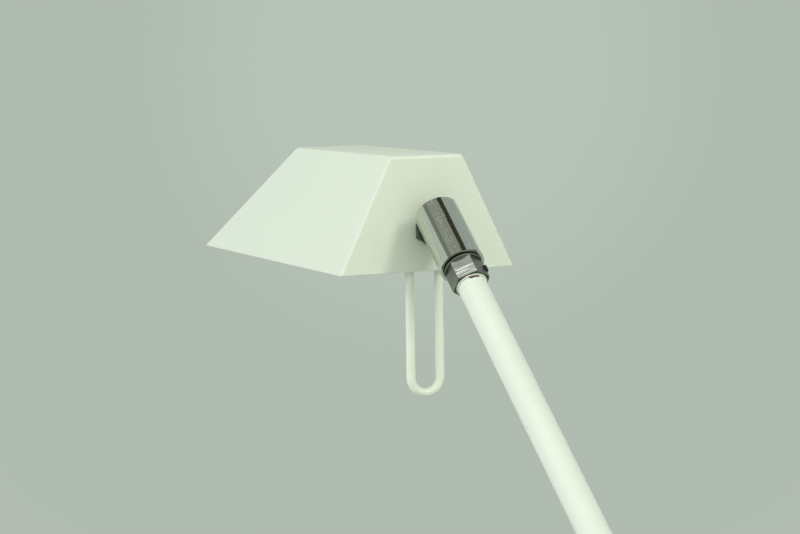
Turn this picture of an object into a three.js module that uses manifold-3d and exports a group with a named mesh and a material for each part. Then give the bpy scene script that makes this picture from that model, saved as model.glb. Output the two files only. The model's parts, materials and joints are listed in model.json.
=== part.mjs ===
// Arc floor lamp: a small hipped sheet-metal shade on a tilting and swivelling knuckle, carried by a
// bent arm tube that slides and turns in a stem on a weighted round base.
// Millimetres, +Z up. The origin is the centre of the base's underside, and the head reaches along -X.

import * as THREE from "three";
import { mergeVertices } from "three/addons/utils/BufferGeometryUtils.js";
import { ConvexGeometry } from "three/addons/geometries/ConvexGeometry.js";
import Module from "manifold-3d";

const wasm = await Module();
wasm.setup();

// ---------------------------------------------------------------- driving dimensions

const GAP = 0.3; // between pieces that touch

// Shade, in its own frame: x = 0 on the outer face of its upright end plate, z = 0 on its rim.
const SHADE_LENGTH = 230.5;
const SHADE_WIDTH = 107;
const SHADE_TOP_LENGTH = 144;
const SHADE_TOP_WIDTH = 44.5;
const SHADE_HEIGHT = 65;
const SHEET = 1.2;
const FOLD_RADIUS = 2.6;
const RIM_HEIGHT = 1200; // of the shade's rim above the floor

// Arm: a straight inclined run, a wide bend, and a run down inside the stem.
const INCLINE = THREE.MathUtils.degToRad(39.2); // below the horizontal
const ARM_RADIUS = 8;
const TUBE_WALL = 1.5;
const ARM_STRAIGHT = 370; // from the top of the pivot sleeve to the start of the bend
const ARM_BEND = 380; // radius of the bend's centre line
const ARM_END_HEIGHT = 330; // of the arm's lower end, inside the stem

// Knuckle: its places are distances down the arm from the top of the pivot sleeve.
const SLEEVE_TOP_X = 11.8; // the top of the sleeve, from the end plate
const SLEEVE_TOP_Z = 33.1; // and above the rim
const SLEEVE_RADIUS = 12.5;
const SLEEVE_LENGTH = 42;
const PIVOT_DROP = 16; // of the tilt pin
const COUPLING_TOP = SLEEVE_LENGTH + 0.5;
const COUPLING_LENGTH = 13.8;
const COUPLING_FLATS = 18.6;
const SHOULDER = 1.6; // length of the coupling's round shoulder, in the sleeve's mouth
const SCREW_DROP = SLEEVE_LENGTH + 8.2; // of the coupling's set screw

// Loop handle of round wire.
const LOOP_X = -6.5;
const LOOP_SPACING = 18;
const LOOP_BOTTOM = -72;
const WIRE_RADIUS = 2.5;

// Stem and base.
const STEM_RADIUS = 12.5;
const STEM_TOP = 640;
const BASE_RADIUS = 130;
const PAD_THICKNESS = 2;
const WEIGHT_RADIUS = 122;
const WEIGHT_TOP = 20;
const COVER_TOP = 27;

// Thin threads and nuts that lamps share: M10 x 1.
const THREAD_RADIUS = 5;
const THREAD_FLATS = 14;
const THREAD_HOLE = THREAD_RADIUS + GAP;
const GRUB_HOLE = 0.2; // how much wider than its screw a grub screw's hole is

// ---------------------------------------------------------------- sizes that follow

const ALONG = new THREE.Vector3(Math.cos(INCLINE), 0, -Math.sin(INCLINE));
const REACH =
  SLEEVE_TOP_X + ARM_STRAIGHT * ALONG.x + ARM_BEND * (1 - Math.sin(INCLINE));
const SLEEVE_TOP = new THREE.Vector3(SLEEVE_TOP_X - REACH, 0, RIM_HEIGHT + SLEEVE_TOP_Z);
const PIVOT_X = SLEEVE_TOP_X + PIVOT_DROP * ALONG.x; // in the shade's frame
const PIVOT_Z = SLEEVE_TOP_Z + PIVOT_DROP * ALONG.z;
const COUPLING_END = COUPLING_TOP + COUPLING_LENGTH;
const SLEEVE_BORE = SLEEVE_RADIUS - TUBE_WALL;
const ARM_BORE = ARM_RADIUS - TUBE_WALL;
const STEM_BORE = STEM_RADIUS - TUBE_WALL;

// ---------------------------------------------------------------- finishes

const finish = (color, roughness, metalness) => () =>
  new THREE.MeshStandardMaterial({ color, roughness, metalness });
const enamel = finish(0xdfe9da, 0.28, 0.0);
const armPaint = finish(0xe2ecdc, 0.32, 0.0);
const chrome = finish(0xc9c8c2, 0.12, 1.0);
const steel = finish(0xa9a8a2, 0.35, 1.0);
const darkSteel = finish(0x3b3936, 0.5, 0.9);
const brass = finish(0xc2a04e, 0.3, 1.0);
const castIron = finish(0x3a3a3b, 0.8, 0.4);
const felt = finish(0x2d3630, 0.95, 0.0);
const rubber = finish(0x232323, 0.8, 0.0);
const nylon = finish(0xd9d6c8, 0.5, 0.0);
const bakelite = finish(0x1d1b1a, 0.35, 0.0);
const opalGlass = finish(0xf3f1e8, 0.2, 0.0);

// ---------------------------------------------------------------- shape helpers

// A closed geometry as a solid for cutting and joining.
function solid(geometry) {
  const bare = geometry.clone();
  bare.deleteAttribute("normal");
  bare.deleteAttribute("uv");
  const merged = mergeVertices(bare, 1e-4);
  return new wasm.Manifold(
    new wasm.Mesh({
      numProp: 3,
      vertProperties: merged.attributes.position.array,
      triVerts: new Uint32Array(merged.index.array),
    }),
  );
}

// A solid back as a geometry.
function geometryOf(made) {
  const mesh = made.getMesh();
  const geometry = new THREE.BufferGeometry();
  geometry.setAttribute("position", new THREE.BufferAttribute(mesh.vertProperties, 3));
  geometry.setIndex(new THREE.BufferAttribute(mesh.triVerts, 1));
  const flat = geometry.toNonIndexed();
  flat.computeVertexNormals();
  return flat;
}

const cut = (body, ...tools) =>
  geometryOf(tools.reduce((left, tool) => left.subtract(solid(tool)), solid(body)));
const join = (...bodies) =>
  geometryOf(bodies.slice(1).reduce((all, body) => all.add(solid(body)), solid(bodies[0])));
const common = (a, b) => geometryOf(solid(a).intersect(solid(b)));

// A solid of revolution about Z from [radius, z] points, whichever way round they run.
function turned(points, sides = 20) {
  const outline = points.map(([r, z]) => new THREE.Vector2(r, z));
  if (THREE.ShapeUtils.area(outline) < 0) outline.reverse();
  const closed = points[0][0] > 0 || points[points.length - 1][0] > 0;
  if (closed) outline.push(outline[0].clone());
  return new THREE.LatheGeometry(outline, sides).rotateX(Math.PI / 2);
}

// A round bar or tube along Z with small chamfers.
function bar(radius, from, to, bore = 0, chamfer = 0.3, sides = 18) {
  const c = Math.min(chamfer, (to - from) / 3);
  return turned(
    [
      [bore, from],
      [radius - c, from],
      [radius, from + c],
      [radius, to - c],
      [radius - c, to],
      [bore, to],
    ],
    sides,
  );
}

// A plain cylinder used as a drill.
const drill = (radius, from, to, sides = 16) =>
  new THREE.CylinderGeometry(radius, radius, to - from, sides)
    .rotateX(Math.PI / 2)
    .translate(0, 0, (from + to) / 2);

// A hexagonal bar along Z, its flats facing +Y and -Y.
const hexBar = (flats, from, to) =>
  drill(flats / Math.sqrt(3), from, to, 6).rotateZ(Math.PI / 2);

// A nut along Z with its corners turned off at both ends.
function nut(flats, from, to, bore) {
  const corner = flats / Math.sqrt(3);
  const blank = common(hexBar(flats, from, to), bar(corner + 0.01, from, to, 0, 0.7));
  return cut(blank, drill(bore, from - 1, to + 1, 16));
}

const box = (x0, x1, y0, y1, z0, z1) =>
  new THREE.BoxGeometry(x1 - x0, y1 - y0, z1 - z0).translate(
    (x0 + x1) / 2,
    (y0 + y1) / 2,
    (z0 + z1) / 2,
  );

// A shape made along Z, turned to run along X or along Y.
const alongX = (geometry) => geometry.rotateY(Math.PI / 2);
const alongY = (geometry) => geometry.rotateX(-Math.PI / 2);

const circle = (radius, sides) =>
  Array.from({ length: sides }, (_, k) => {
    const turn = (2 * Math.PI * k) / sides;
    return new THREE.Vector2(radius * Math.cos(turn), radius * Math.sin(turn));
  });

// A route of straight runs and bends: the section is drawn once at each of its stations.
class Route extends THREE.Curve {
  constructor(stations) {
    super();
    this.stations = stations;
    this.steps = stations.length - 1;
  }
  getPoint(t) {
    return this.stations[Math.round(t * this.steps)].clone();
  }
  getPointAt(t) {
    return this.getPoint(t);
  }
  getTangentAt(t) {
    const here = Math.round(t * this.steps);
    const before = this.stations[Math.max(here - 1, 0)];
    const after = this.stations[Math.min(here + 1, this.steps)];
    return after.clone().sub(before).normalize();
  }
}

// Wire, or tube where it has a bore, along a route.
function swept(stations, radius, sides, bore = 0, boreSides = 16) {
  const route = new Route(stations);
  const section = new THREE.Shape(circle(radius, sides));
  if (bore) section.holes.push(new THREE.Path(circle(bore, boreSides)));
  return new THREE.ExtrudeGeometry(section, { steps: route.steps, extrudePath: route });
}

// Points round an arc in the plane of two unit vectors.
const arc = (centre, radius, right, up, from, to, steps) =>
  Array.from({ length: steps + 1 }, (_, k) => {
    const turn = from + ((to - from) * k) / steps;
    return centre
      .clone()
      .addScaledVector(right, radius * Math.cos(turn))
      .addScaledVector(up, radius * Math.sin(turn));
  });

const X = new THREE.Vector3(1, 0, 0);
const Y = new THREE.Vector3(0, 1, 0);
const Z = new THREE.Vector3(0, 0, 1);

// ---------------------------------------------------------------- the lamp and its frames

const lamp = new THREE.Group();

// Shade frame: the end plate's foot.
const head = new THREE.Group();
head.position.set(-REACH, 0, RIM_HEIGHT);
lamp.add(head);

// Holder frame: local +Z runs from the end plate's outer face back into the shade, on the pivot's level.
const inward = new THREE.Group();
inward.position.set(0, 0, PIVOT_Z);
inward.rotation.y = -Math.PI / 2;
head.add(inward);

// Arm frame: local +Z runs down the arm from the top of the sleeve, and local +X is the arm's underside.
const downArm = new THREE.Group();
downArm.position.copy(SLEEVE_TOP);
downArm.rotation.y = Math.PI / 2 + INCLINE;
lamp.add(downArm);

function add(parent, name, geometry, material) {
  const mesh = new THREE.Mesh(geometry, material());
  mesh.name = name;
  parent.add(mesh);
}

// ---------------------------------------------------------------- shade

// The hipped body whose faces lie `inset` inside the shade's own and whose folds are `fold` round.
function hipped(inset, fold) {
  const slope = (SHADE_WIDTH - SHADE_TOP_WIDTH) / 2 / SHADE_HEIGHT;
  const farSlope = (SHADE_LENGTH - SHADE_TOP_LENGTH) / SHADE_HEIGHT;
  const depth = inset + fold;
  const below = -12; // it runs on under the rim, where it is trimmed
  const points = [];
  for (const z of [below, SHADE_HEIGHT - depth]) {
    const half = SHADE_WIDTH / 2 - slope * z - depth * Math.hypot(1, slope);
    const far = -SHADE_LENGTH + farSlope * z + depth * Math.hypot(1, farSlope);
    for (const [x, y] of [[-depth, half], [-depth, -half], [far, half], [far, -half]]) {
      const ball = new THREE.SphereGeometry(fold, 12, 8).translate(x, y, z).getAttribute("position");
      for (let k = 0; k < ball.count; k += 1) points.push(new THREE.Vector3().fromBufferAttribute(ball, k));
    }
  }
  return new ConvexGeometry(points);
}

function shade() {
  const underRim = box(-SHADE_LENGTH - 60, 60, -SHADE_WIDTH, SHADE_WIDTH, -60, 0);
  const entry = alongX(drill(THREAD_HOLE, -10, 10)).translate(0, 0, PIVOT_Z);
  return cut(hipped(0, FOLD_RADIUS), hipped(SHEET, FOLD_RADIUS - SHEET), underRim, entry);
}
add(head, "shade", shade(), enamel);

// ---------------------------------------------------------------- fixing through the end plate

const TONGUE_HALF = 3; // half its thickness
const TONGUE_EYE = 6;
const TONGUE_BAR = 4.5; // half its height
const FLANGE_FLATS = 15;
const FLANGE_FACE = 3.2; // the hexagonal flange's outer face, clear of the sleeve's rim
const WIRE_WAY = 2.3;
const PIN_RADIUS = 2;
const PIN_HOLE = PIN_RADIUS + 0.2;
const PLATE = 2.5; // handle bracket
const WASHER = 0.8;
const BRACKET_FROM = SHEET + GAP; // distances behind the end plate's outer face
const WASHER_FROM = BRACKET_FROM + PLATE + GAP;
const NUT_FROM = WASHER_FROM + WASHER + GAP;
const NUT_HEIGHT = 3;
const HOLDER_FROM = NUT_FROM + NUT_HEIGHT + 0.6;
const TAIL_END = HOLDER_FROM + 6;

// The shade's half of the knuckle: an eye and flat bar, a hexagonal flange and a hollow threaded tail.
function tiltTongue() {
  const exitX = 10; // of the cross hole that lets the wires out into the sleeve
  const eye = alongY(drill(TONGUE_EYE, -TONGUE_HALF, TONGUE_HALF)).translate(PIVOT_X, 0, 0);
  const shank = box(FLANGE_FACE - 1, PIVOT_X, -TONGUE_HALF, TONGUE_HALF, -TONGUE_BAR, TONGUE_BAR);
  const flange = alongX(nut(FLANGE_FLATS, GAP, FLANGE_FACE, 1));
  const tail = alongX(bar(THREAD_RADIUS, -TAIL_END, GAP + 1, 0, 0.6));
  const wireWay = alongX(drill(WIRE_WAY, -TAIL_END - 1, exitX + 1));
  const wireExit = alongY(drill(WIRE_WAY, -9, 9)).translate(exitX, 0, 0);
  const pinHole = alongY(drill(PIN_HOLE, -9, 9, 24)).translate(PIVOT_X, 0, 0);
  return cut(join(eye, shank, flange, tail), wireWay, wireExit, pinHole).translate(0, 0, PIVOT_Z);
}
add(head, "tilt_tongue", tiltTongue(), chrome);

// Washer with teeth round its edge.
function toothedWasher() {
  const teeth = 12;
  const outline = circle(8, 2 * teeth).map((p, k) => p.multiplyScalar(k % 2 ? 0.86 : 1));
  const shape = new THREE.Shape(outline);
  shape.holes.push(new THREE.Path(circle(THREAD_HOLE, 24)));
  return new THREE.ExtrudeGeometry(shape, { depth: WASHER, bevelEnabled: false });
}
add(inward, "toothed_washer", toothedWasher().translate(0, 0, WASHER_FROM), steel);
add(inward, "inner_lock_nut", nut(THREAD_FLATS, NUT_FROM, NUT_FROM + NUT_HEIGHT, THREAD_HOLE), steel);

// ---------------------------------------------------------------- loop handle

const CLAMP_HALF = 17.5;
const CLAMP_Z = [1.5, 10.5];
const CLAMP_SCREW_Y = 14;
const CLAMP_SCREW_Z = 6;
const CLAMP_SCREW = 1.4; // radius
const STRAP = 1.5;
const EAR = 10; // radius of the bracket's upper end

// Plate hung on the threaded tail, which backs the loop's wires.

function handleBracket() {
  const flat = box(-BRACKET_FROM - PLATE, -BRACKET_FROM, -CLAMP_HALF, CLAMP_HALF, ...CLAMP_Z);
  const neck = box(-BRACKET_FROM - PLATE, -BRACKET_FROM, -EAR, EAR, CLAMP_Z[0], PIVOT_Z);
  const round = alongX(drill(EAR, -BRACKET_FROM - PLATE, -BRACKET_FROM)).translate(0, 0, PIVOT_Z);
  const hole = alongX(drill(THREAD_HOLE, -20, 20)).translate(0, 0, PIVOT_Z);
  const taps = [-1, 1].map((side) =>
    alongX(drill(CLAMP_SCREW + GRUB_HOLE, -20, 20)).translate(0, side * CLAMP_SCREW_Y, CLAMP_SCREW_Z),
  );
  return cut(join(flat, neck, round), hole, ...taps);
}
add(head, "handle_bracket", handleBracket(), steel);

function loopHandle() {
  const half = LOOP_SPACING / 2;
  const bend = new THREE.Vector3(LOOP_X, 0, LOOP_BOTTOM + WIRE_RADIUS + half); // its centre
  const top = CLAMP_Z[1] + 1;
  const stations = [
    new THREE.Vector3(LOOP_X, half, top),
    ...arc(bend, half, Y, Z, 0, -Math.PI, 14),
    new THREE.Vector3(LOOP_X, -half, top),
  ];
  return swept(stations, WIRE_RADIUS, 12);
}
add(head, "loop_handle", loopHandle(), enamel);

const CLAMP_FROM = -LOOP_X + WIRE_RADIUS + GAP; // behind the wires

// Strap that holds the wires against the bracket, with a spacer at each screw.
function handleClamp() {
  const spacer = 2.4; // half its width
  const strap = box(-CLAMP_FROM - STRAP, -CLAMP_FROM, -CLAMP_HALF, CLAMP_HALF, ...CLAMP_Z);
  const near = -BRACKET_FROM - PLATE - GAP;
  const spacers = [-CLAMP_SCREW_Y, CLAMP_SCREW_Y].map((y) =>
    box(-CLAMP_FROM - 0.5, near, y - spacer, y + spacer, ...CLAMP_Z),
  );
  const holes = [-CLAMP_SCREW_Y, CLAMP_SCREW_Y].map((y) =>
    alongX(drill(CLAMP_SCREW + GAP, -20, 20)).translate(0, y, CLAMP_SCREW_Z),
  );
  return cut(join(strap, ...spacers), ...holes);
}
add(head, "handle_clamp", handleClamp(), steel);

// Slotted screw from inside the shade into the bracket.
function handleScrew() {
  const from = CLAMP_FROM + STRAP + GAP;
  const shank = drill(CLAMP_SCREW, BRACKET_FROM, from + 0.5);
  const outline = [[0, 0], [2.8, 0], [2.8, 0.8], [1.6, 1.8], [0, 1.8]];
  const slot = box(-0.4, 0.4, -4, 4, from + 1.1, from + 3);
  return cut(join(shank, turned(outline, 24).translate(0, 0, from)), slot);
}
for (const [name, side] of [["handle_screw_left", 1], ["handle_screw_right", -1]])
  add(inward, name, handleScrew().translate(CLAMP_SCREW_Z - PIVOT_Z, side * CLAMP_SCREW_Y, 0), steel);

// ---------------------------------------------------------------- lamp holder and bulb

const HOLDER_RADIUS = 13.5;
const HOLDER_BORE = 11;
const HOLDER_FLOOR = 4; // thickness of the floor under the contact
const HOLDER_SPLIT = HOLDER_FROM + 15;
const HOLDER_MOUTH = HOLDER_FROM + 43;
const CAP_FROM = HOLDER_SPLIT + 6; // bulb's screw cap
const GLASS_FROM = HOLDER_MOUTH - 2;
const GLASS_LENGTH = 78;
const GLASS_RADIUS = 17.5;

function holderCap() {
  return turned([
    [THREAD_HOLE, HOLDER_FROM],
    [8.5, HOLDER_FROM],
    [HOLDER_RADIUS, HOLDER_FROM + 6],
    [HOLDER_RADIUS, HOLDER_SPLIT],
    [HOLDER_BORE, HOLDER_SPLIT],
    [HOLDER_BORE, HOLDER_FROM + 8],
    [THREAD_HOLE, HOLDER_FROM + 7],
  ]);
}
add(inward, "lamp_holder_cap", holderCap(), bakelite);

function holderBody() {
  const from = HOLDER_SPLIT + GAP;
  return turned([
    [0, from],
    [HOLDER_RADIUS, from],
    [HOLDER_RADIUS, HOLDER_MOUTH - 1],
    [HOLDER_RADIUS - 1, HOLDER_MOUTH],
    [HOLDER_BORE, HOLDER_MOUTH],
    [HOLDER_BORE, from + 8],
    [9, from + HOLDER_FLOOR],
    [0, from + HOLDER_FLOOR],
  ]);
}
add(inward, "lamp_holder_body", holderBody(), bakelite);
const CONTACT_FROM = HOLDER_SPLIT + HOLDER_FLOOR + 2 * GAP;
const SHELL = [7.3, 8]; // bore and outside radius
add(inward, "holder_screw_shell", bar(SHELL[1], CONTACT_FROM + GAP, HOLDER_MOUTH - 8, SHELL[0], 0.1), brass);
add(inward, "holder_contact", bar(2.5, CONTACT_FROM, CAP_FROM - GAP, 0, 0.3, 16), brass);

function bulbCap() {
  const radius = SHELL[0] - 0.4;
  return turned([
    [0, CAP_FROM],
    [2.4, CAP_FROM],
    [3, CAP_FROM + 1.6],
    [radius, CAP_FROM + 4],
    [radius, GLASS_FROM - GAP],
    [0, GLASS_FROM - GAP],
  ]);
}
add(inward, "bulb_cap", bulbCap(), steel);

// Candle-shaped opal glass, open at its neck where the cap closes it.
function bulbGlass() {
  const wall = 0.8;
  const outline = [
    [6.6, 0],
    [8.2, 6],
    [12.6, 14],
    [16.4, 24],
    [GLASS_RADIUS, 34],
    [16.6, 46],
    [13.2, 58],
    [8.4, 68],
    [3.6, 75],
  ];
  const curve = new THREE.SplineCurve(outline.map(([r, z]) => new THREE.Vector2(r, z)));
  const flank = curve.getPoints(11).map((p) => [p.x, GLASS_FROM + p.y]);
  const outer = [...flank, [0, GLASS_FROM + GLASS_LENGTH]];
  const inner = [...flank.map(([r, z]) => [r - wall, z]), [0, GLASS_FROM + GLASS_LENGTH - 2 * wall]];
  return turned([...outer.reverse(), ...inner]);
}
add(inward, "bulb_glass", bulbGlass(), opalGlass);

// ---------------------------------------------------------------- knuckle, swivelling half

const EAR_INNER = 3.9; // the fork's ears, from its middle
const EAR_OUTER = 8;
const FORK_GRUB = 1.5; // radius
const PLUG_FROM = 27;
const PLUG_TO = 36;
const GRUB_DROP = PLUG_FROM + 4.5; // of the grub screw that holds the fork
const STUD_FLANGE = [36.6, 38.4];
const STUD_BORE = 3.2;
const BUSH_FROM = 39.4;
const SLOT_HALF = 3.7;
const SLOT_END = PIVOT_DROP + TONGUE_EYE;

// Chromed tube, slotted on its underside so that the tongue can swing out of its open end.
function pivotSleeve() {
  const tube = bar(SLEEVE_RADIUS, 0, SLEEVE_LENGTH, SLEEVE_BORE, 0.35, 40);
  const slot = box(0, 20, -SLOT_HALF, SLOT_HALF, -5, SLOT_END);
  const slotEnd = alongX(drill(SLOT_HALF, 0, 20, 24)).translate(0, 0, SLOT_END);
  const screwHole = alongX(drill(FORK_GRUB + GRUB_HOLE, 5, 20)).translate(0, 0, GRUB_DROP);
  return cut(tube, slot, slotEnd, screwHole);
}
add(downArm, "pivot_sleeve", pivotSleeve(), chrome);

// Plug in the sleeve with two ears that the tongue swings between.
function knuckleFork() {
  const ear = 7; // half its width
  const core = drill(SLEEVE_BORE - GAP, 5, PLUG_TO);
  const ears = join(
    alongY(drill(ear, -12, 12)).translate(0, 0, PIVOT_DROP),
    box(-ear, ear, -12, 12, PIVOT_DROP, PLUG_TO),
    box(-12, 12, -12, 12, PLUG_FROM, PLUG_TO + 1),
  );
  const swing = box(-12, 12, -EAR_INNER, EAR_INNER, 0, PLUG_FROM - 3);
  const cheeks = [box(-12, 12, EAR_OUTER, 14, 0, PLUG_FROM), box(-12, 12, -14, -EAR_OUTER, 0, PLUG_FROM)];
  const pinHole = alongY(drill(PIN_HOLE, -14, 14, 24)).translate(0, 0, PIVOT_DROP);
  const wireWay = drill(STUD_BORE, 0, PLUG_TO + 2, 24);
  const grubHole = alongX(drill(FORK_GRUB + GRUB_HOLE, 6, 20)).translate(0, 0, GRUB_DROP);
  return cut(common(core, ears), swing, ...cheeks, pinHole, wireWay, grubHole);
}
add(downArm, "knuckle_fork", knuckleFork(), steel);

// Grub screw along Z, with a hexagon socket in its upper end.
function grub(radius, from, to) {
  const socket = drill(radius * 0.5, to - radius, to + 1, 6);
  return cut(bar(radius, from, to, 0, 0.2, 14), socket);
}
add(downArm, "fork_grub_screw", alongX(grub(FORK_GRUB, 6.5, 12)).translate(0, 0, GRUB_DROP), darkSteel);

// Ring pressed into the sleeve's mouth.
const endBush = bar(SLEEVE_BORE - GAP, BUSH_FROM, SLEEVE_LENGTH - 0.6, THREAD_HOLE, 0.4, 24);
add(downArm, "sleeve_end_bush", endBush, darkSteel);

// Tilt pivot: a screw across the fork with a thin nut, both hidden inside the sleeve.
function pivotScrew() {
  const shank = drill(PIN_RADIUS, -EAR_OUTER - 0.5, EAR_OUTER + 1.9, 24);
  const cap = bar(3.4, -EAR_OUTER - 1.9, -EAR_OUTER - GAP, 0, 0.3, 24);
  const slot = box(-4, 4, -0.4, 0.4, -EAR_OUTER - 3, -EAR_OUTER - 1.2);
  return alongY(cut(join(shank, cap), slot)).translate(0, 0, PIVOT_DROP);
}
add(downArm, "pivot_screw", pivotScrew(), darkSteel);
const pivotNut = alongY(nut(6, EAR_OUTER + GAP, EAR_OUTER + 1.8, PIN_HOLE)).translate(0, 0, PIVOT_DROP);
add(downArm, "pivot_nut", pivotNut, darkSteel);

const FRICTION_WASHER = 0.6;
for (const [name, from] of [
  ["friction_washer_left", TONGUE_HALF + 0.15],
  ["friction_washer_right", -TONGUE_HALF - 0.15 - FRICTION_WASHER],
]) {
  const washer = alongY(bar(5.6, from, from + FRICTION_WASHER, WIRE_WAY, 0.05, 18));
  add(downArm, name, washer.translate(0, 0, PIVOT_DROP), nylon);
}

// ---------------------------------------------------------------- knuckle, arm half

// Hollow stud: its flange is held in the sleeve between fork and bush, so the head swivels on it.
function swivelStud() {
  return turned([
    [STUD_BORE, STUD_FLANGE[0]],
    [9.5, STUD_FLANGE[0]],
    [9.5, STUD_FLANGE[1]],
    [THREAD_RADIUS - 0.1, STUD_FLANGE[1]],
    [THREAD_RADIUS - 0.1, COUPLING_END - 3],
    [STUD_BORE, COUPLING_END - 3],
  ]);
}
add(downArm, "swivel_stud", swivelStud(), darkSteel);
const springWasher = bar(8.4, STUD_FLANGE[1] + 0.2, BUSH_FROM - 0.2, THREAD_HOLE, 0.1);
add(downArm, "swivel_spring_washer", springWasher, steel);

const SPIGOT_RADIUS = ARM_BORE - GAP;
const SPIGOT_LENGTH = 18;
const SET_SCREW = 2; // radius
const SET_SCREW_TURN = Math.PI / 6; // it sits on a corner of the hexagon, this far past +Y

// A shape along Y, turned round the arm to the set screw's corner.
const toSetScrew = (geometry) => alongY(geometry).rotateZ(SET_SCREW_TURN).translate(0, 0, SCREW_DROP);

// Turned from hexagonal bar: a round shoulder in the sleeve's mouth, spanner flats, and a spigot in the arm.
function hexCoupling() {
  const corner = COUPLING_FLATS / Math.sqrt(3);
  const hexFrom = COUPLING_TOP + SHOULDER;
  const blank = turned(
    [
      [0, hexFrom - 0.5],
      [corner + 0.01, hexFrom - 0.5],
      [corner + 0.01, COUPLING_END - 1],
      [corner - 0.9, COUPLING_END],
      [0, COUPLING_END],
    ],
    36,
  );
  const hexagon = common(hexBar(COUPLING_FLATS, hexFrom - 0.5, COUPLING_END), blank);
  const shoulder = bar(SLEEVE_BORE - GAP, COUPLING_TOP, hexFrom, 0, 0.3, 36);
  const spigot = bar(SPIGOT_RADIUS, COUPLING_END - 1, COUPLING_END + SPIGOT_LENGTH, 0, 0.6, 20);
  const thread = drill(THREAD_RADIUS + 0.2, COUPLING_TOP - 1, COUPLING_END - 2);
  const wireWay = drill(3.4, COUPLING_TOP, COUPLING_END + SPIGOT_LENGTH + 1, 24);
  const tap = toSetScrew(drill(SET_SCREW + GRUB_HOLE, 3, 20, 20));
  return cut(join(hexagon, shoulder, spigot), thread, wireWay, tap);
}
add(downArm, "hex_coupling", hexCoupling(), chrome);
add(downArm, "coupling_set_screw", toSetScrew(grub(SET_SCREW, 5.6, 11.6)), darkSteel);

// Painted ring between the coupling and the arm's end.
const RING_FROM = COUPLING_END + 0.15;
const RING = 0.7;
add(downArm, "arm_end_ring", bar(8.7, RING_FROM, RING_FROM + RING, ARM_BORE, 0.15, 24), armPaint);

// ---------------------------------------------------------------- arm tube

const ARM_FROM = RING_FROM + RING + 0.15;

// Straight down from the ring, round the bend and down into the stem.
function armTube() {
  const level = SLEEVE_TOP.z - ARM_STRAIGHT * Math.sin(INCLINE) - ARM_BEND * Math.cos(INCLINE);
  const centre = new THREE.Vector3(-ARM_BEND, 0, level);
  const stations = [
    SLEEVE_TOP.clone().addScaledVector(ALONG, ARM_FROM),
    ...arc(centre, ARM_BEND, X, Z, Math.PI / 2 - INCLINE, 0, 12),
    new THREE.Vector3(0, 0, ARM_END_HEIGHT),
  ];
  return swept(stations, ARM_RADIUS, 24, ARM_BORE, 14);
}
add(lamp, "arm_tube", armTube(), armPaint);

// Slider on the arm's lower end that runs in the stem.
function armGuide() {
  const from = ARM_END_HEIGHT - 4;
  const plug = bar(STEM_BORE - GAP, from, from + 3.6, 3.4, 0.6, 24);
  const inside = bar(ARM_BORE - GAP, from + 2, from + 22, 3.4, 0.4);
  return join(plug, inside);
}
add(lamp, "arm_guide", armGuide(), nylon);

// ---------------------------------------------------------------- turning collar and thumb screw

const COLLAR_RADIUS = 16.5;
const COLLAR_FROM = STEM_TOP + 0.4;
const COLLAR_TOP = STEM_TOP + 26;
const SPIGOT_FROM = STEM_TOP - 26;
const GROOVE = [STEM_TOP - 14, STEM_TOP - 9];
const GROOVE_DEPTH = 1.3;
const KEEPER_HEIGHT = (GROOVE[0] + GROOVE[1]) / 2;
const KEEPER = 2; // radius of its grub screw
const THUMB_HEIGHT = STEM_TOP + 14;
const THUMB_SHANK = 3;

// Chromed collar that turns in the stem's top: a groove round its spigot keeps it there.

function turningCollar() {
  const bore = ARM_RADIUS + 0.15;
  const spigot = STEM_BORE - GAP;
  const body = turned(
    [
      [bore, SPIGOT_FROM],
      [spigot, SPIGOT_FROM],
      [spigot, GROOVE[0]],
      [spigot - GROOVE_DEPTH, GROOVE[0]],
      [spigot - GROOVE_DEPTH, GROOVE[1]],
      [spigot, GROOVE[1]],
      [spigot, COLLAR_FROM],
      [COLLAR_RADIUS - 0.8, COLLAR_FROM],
      [COLLAR_RADIUS, COLLAR_FROM + 0.8],
      [COLLAR_RADIUS, COLLAR_TOP - 5],
      [COLLAR_RADIUS - 1.4, COLLAR_TOP - 1.8],
      [COLLAR_RADIUS - 4.5, COLLAR_TOP],
      [bore, COLLAR_TOP],
    ],
    24,
  );
  return cut(body, alongY(drill(THUMB_SHANK + GRUB_HOLE, -30, -4, 24)).translate(0, 0, THUMB_HEIGHT));
}
add(lamp, "turning_collar", turningCollar(), chrome);

add(lamp, "collar_keeper_screw", alongX(grub(KEEPER, 9.7, 13.2)).translate(0, 0, KEEPER_HEIGHT), darkSteel);

// Knurled knob on an M6 screw that presses a brass pad against the arm.
function thumbScrew() {
  const knurls = 14;
  const outline = circle(9, 2 * knurls).map((p, k) => p.multiplyScalar(k % 2 ? 1 : 0.93));
  const knob = new THREE.ExtrudeGeometry(new THREE.Shape(outline), {
    depth: 9,
    bevelEnabled: true,
    bevelSize: 0.6,
    bevelThickness: 0.6,
    bevelSegments: 1,
  }).translate(0, 0, 20.5);
  const shank = drill(THUMB_SHANK, ARM_RADIUS + 2.2, 21, 24);
  const shoulder = bar(6, 18, 20.4, 0, 0.4, 28);
  return join(knob, shank, shoulder).rotateX(Math.PI / 2).translate(0, 0, THUMB_HEIGHT);
}
add(lamp, "thumb_screw", thumbScrew(), chrome);
const clampPad = bar(2.9, ARM_RADIUS + 0.2, ARM_RADIUS + 1.9, 0, 0.2, 24).rotateX(Math.PI / 2);
add(lamp, "clamp_pad", clampPad.translate(0, 0, THUMB_HEIGHT), brass);

// ---------------------------------------------------------------- stem

const SOCKET_TOP = 66;
const STEM_FROM = 34;
const SOCKET_SCREW_HEIGHT = 54;
const SOCKET_SCREW = 2.5; // radius
const TIE_HOLE = THREAD_RADIUS + 0.6; // through the weight and the cover

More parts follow.
